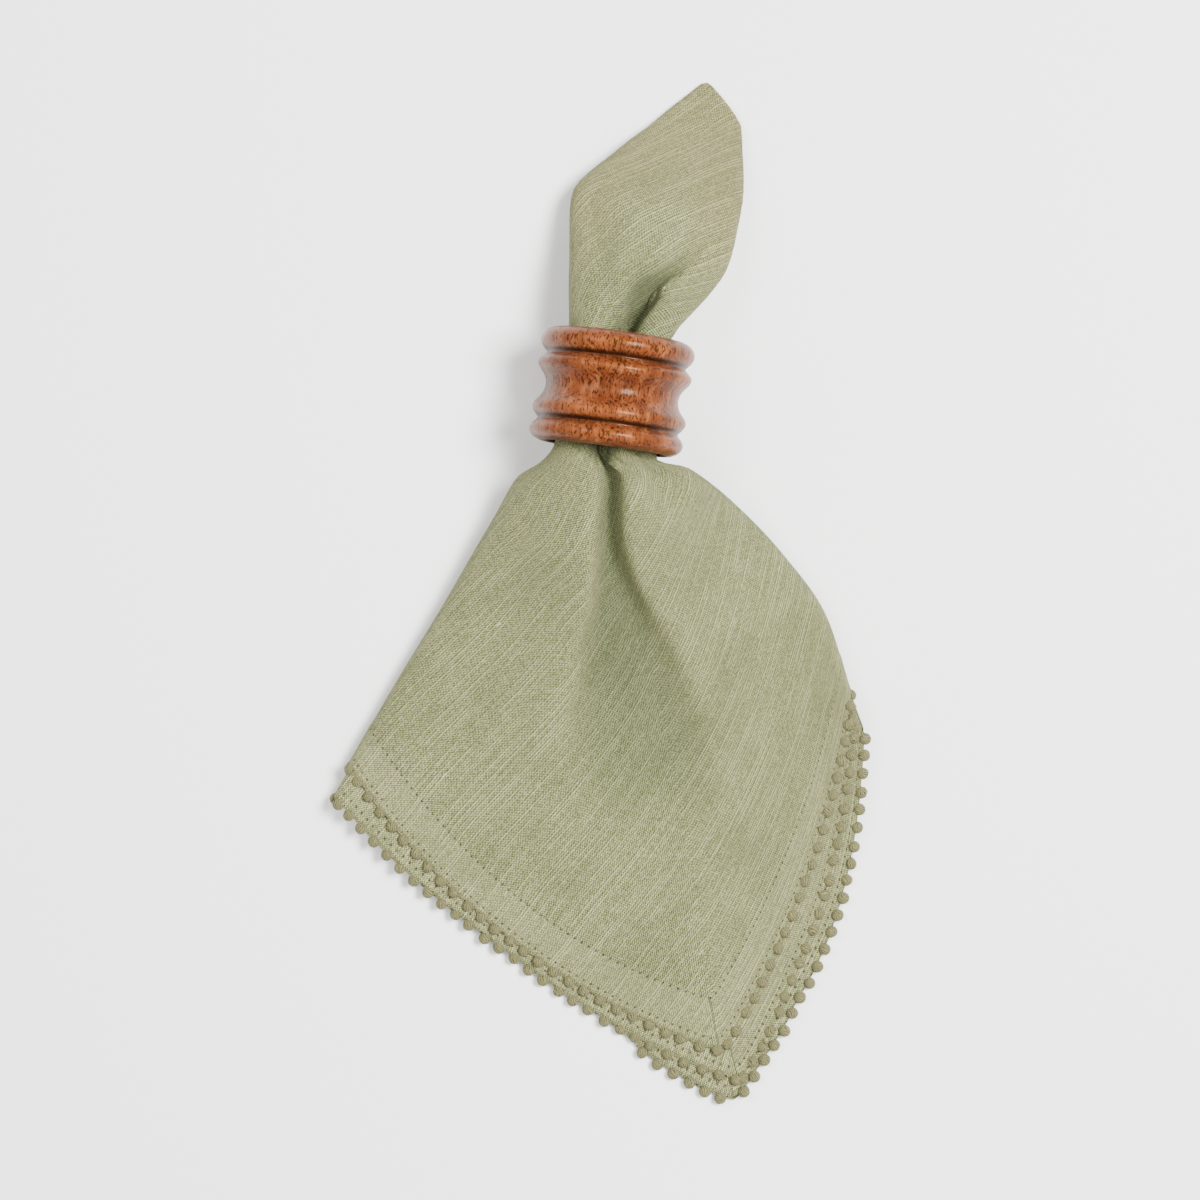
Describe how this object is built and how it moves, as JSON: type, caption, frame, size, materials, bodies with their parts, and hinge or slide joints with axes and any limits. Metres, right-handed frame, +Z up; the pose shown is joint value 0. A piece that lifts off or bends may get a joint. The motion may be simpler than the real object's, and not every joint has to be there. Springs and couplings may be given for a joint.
{
  "type": "napkin in a napkin ring",
  "caption": "Square linen napkin edged with ball trim, folded in quarters and drawn through a turned wooden ring with beads and a cove.",
  "frame": {"origin": "centre of the bounding box, on the table that the napkin lies on", "axes": "+Y from the hem's corner towards the folded centre, +Z up from the table"},
  "size_m": [0.1916, 0.3604, 0.054],
  "materials": {
    "linen": "plain-weave linen with slub threads, matte",
    "yarn": "wound cotton yarn, matte",
    "wood": "reddish brown hardwood, satin varnish"
  },
  "bodies": {
    "root": {"napkin": "linen", "ring": "wood", "trim_top_left": "yarn", "trim_top_right": "yarn", "trim_second_left": "yarn", "trim_second_right": "yarn", "trim_third_left": "yarn", "trim_third_right": "yarn"}
  },
  "joints": []
}
